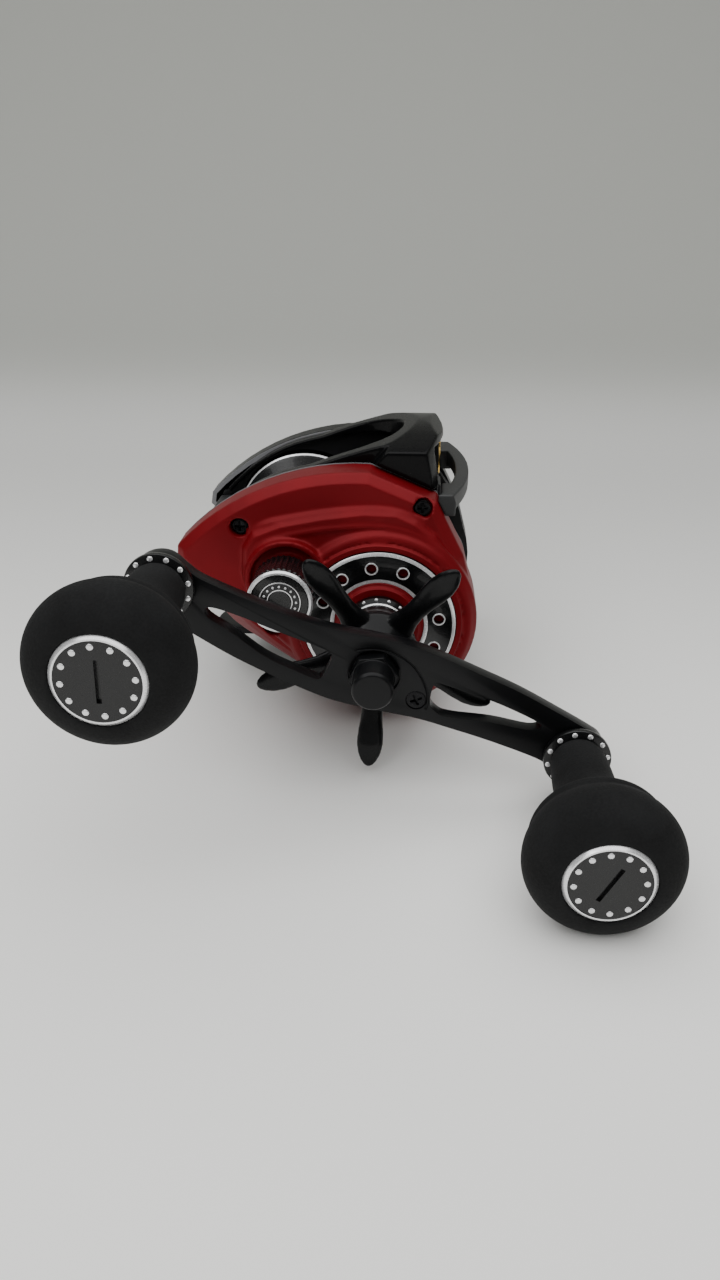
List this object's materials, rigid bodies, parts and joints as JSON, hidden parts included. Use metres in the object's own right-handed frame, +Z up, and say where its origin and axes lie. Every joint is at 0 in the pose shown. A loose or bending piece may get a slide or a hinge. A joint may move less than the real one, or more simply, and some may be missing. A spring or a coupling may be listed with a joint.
{
  "type": "baitcasting reel",
  "caption": "Low-profile baitcasting reel with star drag, power handle with foam knobs, geared spool with clutch, level-wind line guide and a rod foot.",
  "frame": {"origin": "centre of the underside of the reel foot", "axes": "+X along the spool and handle axes towards the handle, +Y to where the line leaves, +Z up from the foot"},
  "size_m": [0.1278, 0.1172, 0.0746],
  "materials": {
    "gloss_black": "gloss black paint",
    "frame_black": "satin black paint on cast metal",
    "crimson": "deep satin metallic crimson paint",
    "grey_metal": "matt grey anodised",
    "bar_grey": "matt dark grey resin",
    "gloss_ring": "gloss black anodised, with bright cut edges",
    "black_anodised": "satin black anodised",
    "steel": "machined stainless steel",
    "black_screw": "black oxide steel",
    "brass": "machined brass",
    "gold": "gold titanium nitride coating",
    "foam": "fine closed-cell black foam",
    "black_resin": "moulded black resin",
    "carbon": "woven carbon friction discs",
    "magnet": "nickel plated"
  },
  "bodies": {
    "frame": {"frame": "frame_black", "reel_foot": "black_anodised", "foot_screws": "steel", "hood": "gloss_black", "front_bar": "bar_grey", "handle_side_cover": "crimson", "cover_gasket": "grey_metal", "cover_screws": "black_screw", "trim_ring": "gloss_ring", "palm_side_cover": "gloss_black", "palm_screws": "black_screw", "guide_rail": "steel", "worm_bushes": "brass", "shaft_bearing": "steel", "anti_reverse_bearing": "steel", "pinion_bearing": "steel", "spool_bearings": "steel", "yoke_springs": "steel"},
    "handle": {"drive_shaft": "steel", "drive_gear": "brass", "drag_washers": "carbon", "pressure_plate": "steel", "drag_springs": "steel", "anti_reverse_sleeve": "steel", "guide_drive_gear": "brass", "handle_arm": "black_anodised", "handle_nut": "black_anodised", "nut_lock_screw": "black_screw", "knob_spindles": "steel"},
    "star": {"star_drag": "gloss_ring", "star_nut": "brass"},
    "rear_knob": {"rear_knob_sleeve": "gloss_ring", "rear_knob_grip": "foam", "rear_knob_cap": "gloss_ring", "rear_knob_bearings": "steel"},
    "front_knob": {"front_knob_sleeve": "gloss_ring", "front_knob_grip": "foam", "front_knob_cap": "gloss_ring", "front_knob_bearings": "steel"},
    "spool": {"spool": "gloss_ring", "spool_shaft": "steel", "brake_rotor": "grey_metal"},
    "pinion": {"pinion_gear": "brass"},
    "yoke": {"clutch_yoke": "brass"},
    "tension": {"tension_knob": "gloss_ring", "tension_face": "gloss_ring"},
    "dial": {"brake_dial": "black_anodised"},
    "magnets": {"magnet_carrier": "black_resin", "brake_magnets": "magnet"},
    "idler": {"idler_gear": "black_resin"},
    "worm": {"worm_shaft": "steel", "worm_gear": "brass"},
    "line_guide": {"guide_carriage": "black_resin", "guide_insert": "gold", "pawl": "steel", "pawl_cap": "brass"},
    "thumb": {"thumb_bar": "black_resin"}
  },
  "joints": [
    {"name": "handle_turn", "type": "hinge", "parent": "frame", "child": "handle", "pos_m": [0.03, 0.012, 0.0145], "axis": [1, 0, 0], "continuous": true},
    {"name": "star_turn", "type": "hinge", "parent": "handle", "child": "star", "pos_m": [0.041, 0.012, 0.0145], "axis": [1, 0, 0], "range_deg": [-270, 270]},
    {"name": "rear_knob_spin", "type": "hinge", "parent": "handle", "child": "rear_knob", "pos_m": [0.076, -0.03159, 0.03336], "axis": [1, 0, 0], "continuous": true},
    {"name": "front_knob_spin", "type": "hinge", "parent": "handle", "child": "front_knob", "pos_m": [0.076, 0.05559, -0.00436], "axis": [1, 0, 0], "continuous": true},
    {"name": "spool_spin", "type": "hinge", "parent": "frame", "child": "spool", "pos_m": [0, -0.00925, 0.0245], "axis": [1, 0, 0], "continuous": true},
    {"name": "pinion_slide", "type": "slide", "parent": "spool", "child": "pinion", "axis": [1, 0, 0], "range_m": [0, 0.0015]},
    {"name": "yoke_slide", "type": "slide", "parent": "frame", "child": "yoke", "axis": [1, 0, 0], "range_m": [0, 0.0015], "deforming": ["yoke_springs"]},
    {"name": "thumb_bar_press", "type": "slide", "parent": "frame", "child": "thumb", "axis": [0, 0, -1], "range_m": [0, 0.004]},
    {"name": "tension_knob_turn", "type": "hinge", "parent": "frame", "child": "tension", "pos_m": [0.038, -0.00925, 0.0245], "axis": [1, 0, 0], "range_deg": [-180, 180]},
    {"name": "brake_dial_turn", "type": "hinge", "parent": "frame", "child": "dial", "pos_m": [-0.028, -0.00925, 0.0245], "axis": [1, 0, 0], "range_deg": [0, 300]},
    {"name": "magnet_slide", "type": "slide", "parent": "frame", "child": "magnets", "axis": [1, 0, 0], "range_m": [0, 0.0018]},
    {"name": "idler_spin", "type": "hinge", "parent": "frame", "child": "idler", "pos_m": [0.0184, 0.0148, 0.02565], "axis": [1, 0, 0], "continuous": true},
    {"name": "worm_spin", "type": "hinge", "parent": "frame", "child": "worm", "pos_m": [0, 0.02, 0.033], "axis": [1, 0, 0], "continuous": true},
    {"name": "line_guide_slide", "type": "slide", "parent": "frame", "child": "line_guide", "axis": [1, 0, 0], "range_m": [-0.005, 0.015]}
  ],
  "couplings": [
    {"joint": "spool_spin", "follows": "handle_turn", "ratio": -7.1},
    {"joint": "idler_spin", "follows": "handle_turn", "ratio": -1.0909},
    {"joint": "worm_spin", "follows": "handle_turn", "ratio": 1.7143},
    {"joint": "yoke_slide", "follows": "thumb_bar_press", "ratio": 0.375},
    {"joint": "pinion_slide", "follows": "thumb_bar_press", "ratio": 0.375},
    {"joint": "magnet_slide", "follows": "brake_dial_turn", "m_per_rad": 0.00034377}
  ]
}
